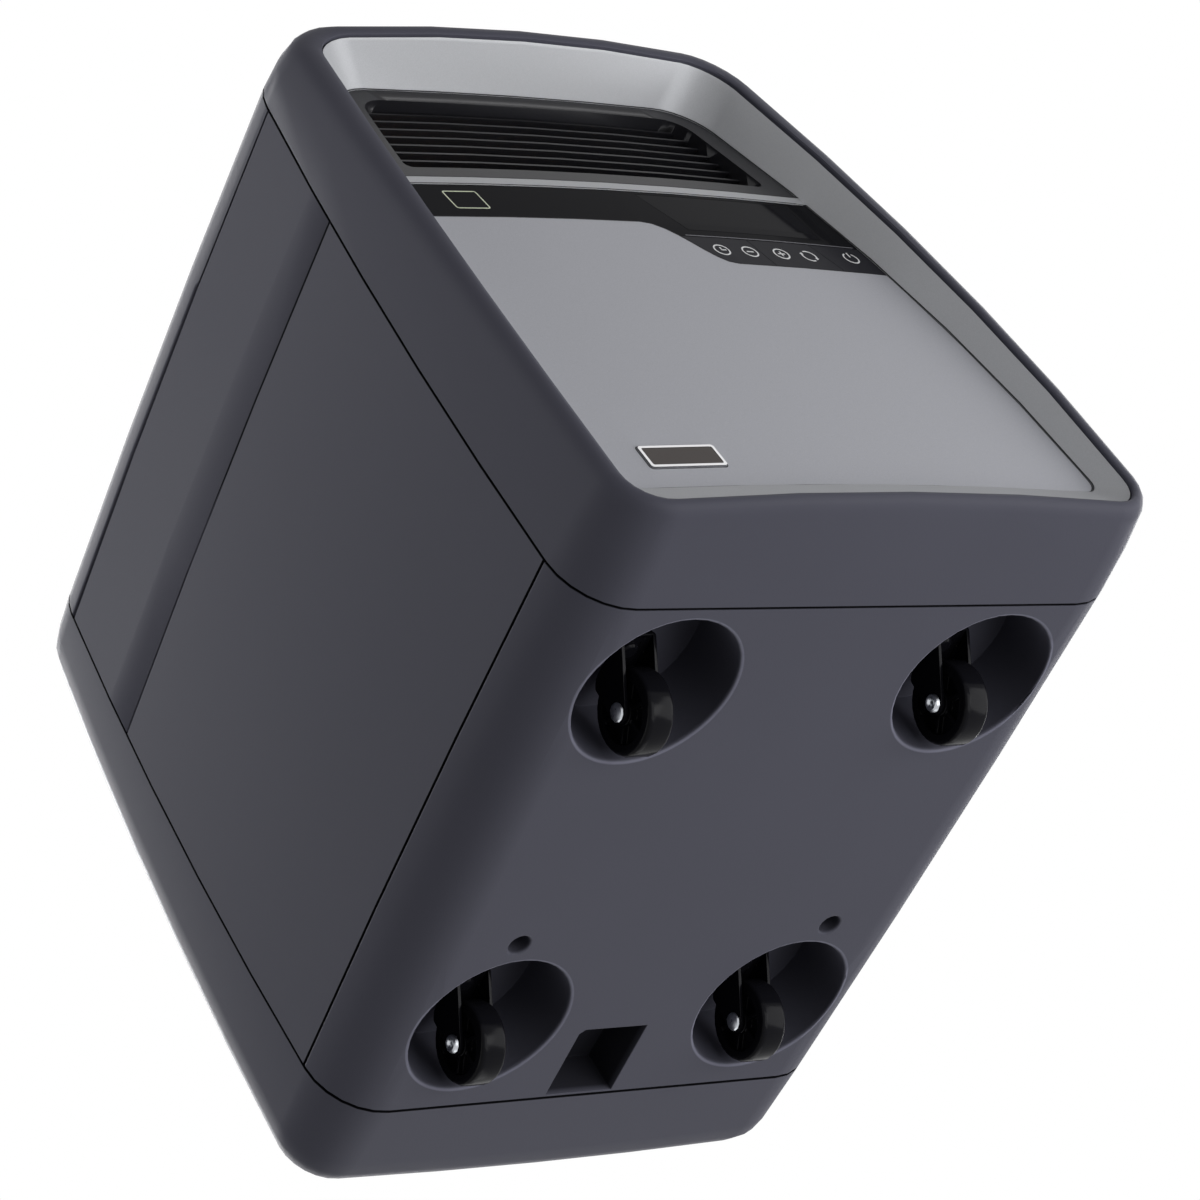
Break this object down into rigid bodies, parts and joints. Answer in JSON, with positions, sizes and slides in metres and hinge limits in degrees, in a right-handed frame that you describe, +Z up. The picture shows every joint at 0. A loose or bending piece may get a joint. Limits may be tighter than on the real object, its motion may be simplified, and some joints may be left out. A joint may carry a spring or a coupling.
{
  "type": "infrared quartz space heater",
  "caption": "Cabinet space heater with quartz tubes behind a louvred outlet, touch-strip keys and hooded swivel casters under a rounded plastic body.",
  "frame": {"origin": "on the floor, under the middle of the whole", "axes": "+Z up, the front with the outlet faces -Y, +X to the right of someone facing the front"},
  "size_m": [0.3148, 0.4334, 0.398],
  "materials": {
    "shell": "fine satin moulding texture, dark charcoal",
    "silver_trim": "silver satin paint",
    "front_grey": "grey satin paint",
    "gloss_black": "polished",
    "satin_black": "satin",
    "key_black": "smooth with white printed symbols",
    "window": "smoked and polished",
    "chrome_trim": "bright plated",
    "steel": "galvanised sheet",
    "zinc": "zinc plated",
    "copper": "warm bright sheet",
    "ceramic": "unglazed",
    "quartz": "milky quartz",
    "circuit": "solder mask",
    "filter_foam": "open foam",
    "caster_black": "moulded nylon"
  },
  "bodies": {
    "cabinet": {"front_bezel": "shell", "front_frame": "silver_trim", "outlet_grille": "satin_black", "front_panel": "front_grey", "badge_frame": "chrome_trim", "badge_plate": "gloss_black", "control_fascia": "gloss_black", "display_window": "window", "control_board": "circuit", "led_display": "satin_black", "top_cover": "shell", "base_cover": "shell", "side_panel_upper_left": "shell", "side_panel_lower_left": "shell", "side_panel_upper_right": "shell", "side_panel_lower_right": "shell", "rear_shell": "shell", "intake_grille": "satin_black", "air_filter": "filter_foam", "cord_gland": "satin_black", "inner_deck": "steel", "heater_box": "steel", "heat_reflector": "copper", "quartz_tube_1": "quartz", "quartz_tube_2": "quartz", "quartz_tube_3": "quartz", "tube_holder_left": "ceramic", "tube_holder_right": "ceramic", "blower_housing": "steel", "blower_motor": "zinc", "motor_bracket": "steel", "power_board": "circuit", "thermal_cutout": "ceramic", "tip_switch": "satin_black", "base_screw_left": "zinc", "base_screw_right": "zinc", "rear_screw_left": "zinc", "rear_screw_right": "zinc", "caster_socket_front_left": "steel", "caster_socket_front_right": "steel", "caster_socket_rear_left": "steel", "caster_socket_rear_right": "steel"},
    "blower": {"blower_wheel": "satin_black"},
    "timer_minus": {"timer_minus_key": "key_black"},
    "plus_mode": {"plus_mode_key": "key_black"},
    "power": {"power_key": "key_black"},
    "swivel_front_left": {"caster_fork_front_left": "caster_black", "caster_axle_front_left": "zinc"},
    "swivel_front_right": {"caster_fork_front_right": "caster_black", "caster_axle_front_right": "zinc"},
    "swivel_rear_left": {"caster_fork_rear_left": "caster_black", "caster_axle_rear_left": "zinc"},
    "swivel_rear_right": {"caster_fork_rear_right": "caster_black", "caster_axle_rear_right": "zinc"},
    "wheel_front_left": {"caster_wheel_front_left": "caster_black"},
    "wheel_front_right": {"caster_wheel_front_right": "caster_black"},
    "wheel_rear_left": {"caster_wheel_rear_left": "caster_black"},
    "wheel_rear_right": {"caster_wheel_rear_right": "caster_black"}
  },
  "joints": [
    {"name": "blower_spin", "type": "hinge", "parent": "cabinet", "child": "blower", "pos_m": [0, -0.00202, 0.32728], "axis": [1, 0, 0], "continuous": true},
    {"name": "timer_minus_press", "type": "slide", "parent": "cabinet", "child": "timer_minus", "axis": [0, 1, 0], "range_m": [0, 0.0008], "stiffness_N_per_m": 900},
    {"name": "plus_mode_press", "type": "slide", "parent": "cabinet", "child": "plus_mode", "axis": [0, 1, 0], "range_m": [0, 0.0008], "stiffness_N_per_m": 900},
    {"name": "power_press", "type": "slide", "parent": "cabinet", "child": "power", "axis": [0, 1, 0], "range_m": [0, 0.0008], "stiffness_N_per_m": 900},
    {"name": "swivel_front_left", "type": "hinge", "parent": "cabinet", "child": "swivel_front_left", "pos_m": [-0.0913, -0.10892, 0.04], "axis": [0, 0, 1], "continuous": true},
    {"name": "swivel_front_right", "type": "hinge", "parent": "cabinet", "child": "swivel_front_right", "pos_m": [0.0913, -0.10892, 0.04], "axis": [0, 0, 1], "continuous": true},
    {"name": "swivel_rear_left", "type": "hinge", "parent": "cabinet", "child": "swivel_rear_left", "pos_m": [-0.0827, 0.09918, 0.04], "axis": [0, 0, 1], "continuous": true},
    {"name": "swivel_rear_right", "type": "hinge", "parent": "cabinet", "child": "swivel_rear_right", "pos_m": [0.0827, 0.09918, 0.04], "axis": [0, 0, 1], "continuous": true},
    {"name": "wheel_front_left", "type": "hinge", "parent": "swivel_front_left", "child": "wheel_front_left", "pos_m": [-0.0913, -0.09192, 0.02], "axis": [1, 0, 0], "continuous": true},
    {"name": "wheel_front_right", "type": "hinge", "parent": "swivel_front_right", "child": "wheel_front_right", "pos_m": [0.0913, -0.09192, 0.02], "axis": [1, 0, 0], "continuous": true},
    {"name": "wheel_rear_left", "type": "hinge", "parent": "swivel_rear_left", "child": "wheel_rear_left", "pos_m": [-0.0827, 0.11618, 0.02], "axis": [1, 0, 0], "continuous": true},
    {"name": "wheel_rear_right", "type": "hinge", "parent": "swivel_rear_right", "child": "wheel_rear_right", "pos_m": [0.0827, 0.11618, 0.02], "axis": [1, 0, 0], "continuous": true}
  ]
}
